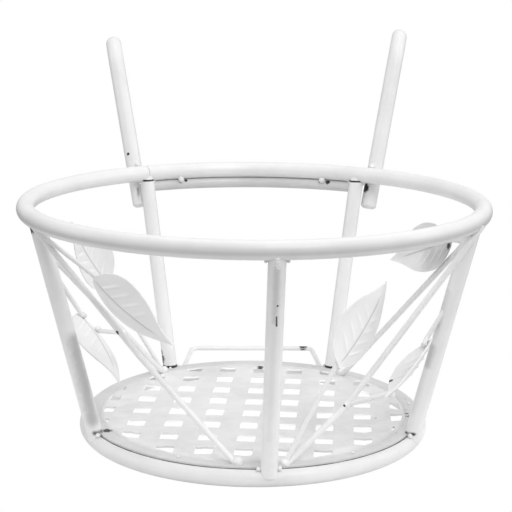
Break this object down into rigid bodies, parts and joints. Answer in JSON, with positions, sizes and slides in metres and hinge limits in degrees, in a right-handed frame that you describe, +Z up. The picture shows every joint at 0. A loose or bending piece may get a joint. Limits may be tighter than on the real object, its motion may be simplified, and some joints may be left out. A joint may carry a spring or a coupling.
{
  "type": "flowerpot rack",
  "caption": "Hanging flowerpot rack of white painted iron: a tube ring over a woven-look plate, leaning uprights, rail hooks and leaf sprays.",
  "frame": {"origin": "on the axis of the two rings, in the plane the base ring stands on", "axes": "+Z up along the rings' axis, +Y to the back, where the rail hooks are, +X to the right seen from the front"},
  "size_m": [0.27, 0.32, 0.2256],
  "materials": {
    "tube_paint": "satin",
    "sheet_paint": "satin",
    "wire_paint": "satin",
    "weld_paint": "satin"
  },
  "bodies": {
    "root": {"top_ring": "tube_paint", "base_ring": "tube_paint", "base_plate": "sheet_paint", "front_upright": "tube_paint", "left_upright": "tube_paint", "right_upright": "tube_paint", "back_left_upright": "tube_paint", "back_right_upright": "tube_paint", "left_hook": "tube_paint", "right_hook": "tube_paint", "back_brace": "tube_paint", "rear_spacer": "wire_paint", "front_right_leaf": "sheet_paint", "front_left_leaf": "sheet_paint", "back_left_leaf": "sheet_paint", "back_right_leaf": "sheet_paint", "left_twig_leaf": "sheet_paint", "right_twig_leaf": "sheet_paint", "front_right_stem": "wire_paint", "back_left_stem": "wire_paint", "back_right_stem": "wire_paint", "front_left_stem": "wire_paint", "front_right_stalk": "wire_paint", "back_left_stalk": "wire_paint", "front_left_stalk": "wire_paint", "back_right_stalk": "wire_paint", "left_twig_stalk": "wire_paint", "right_twig_stalk": "wire_paint", "left_twig": "wire_paint", "right_twig": "wire_paint", "upright_top_welds": "weld_paint", "upright_foot_welds": "weld_paint", "hook_welds": "weld_paint", "brace_welds": "weld_paint", "stem_welds": "weld_paint", "leaf_welds": "weld_paint", "spacer_welds": "weld_paint", "plate_welds": "weld_paint"}
  },
  "joints": []
}
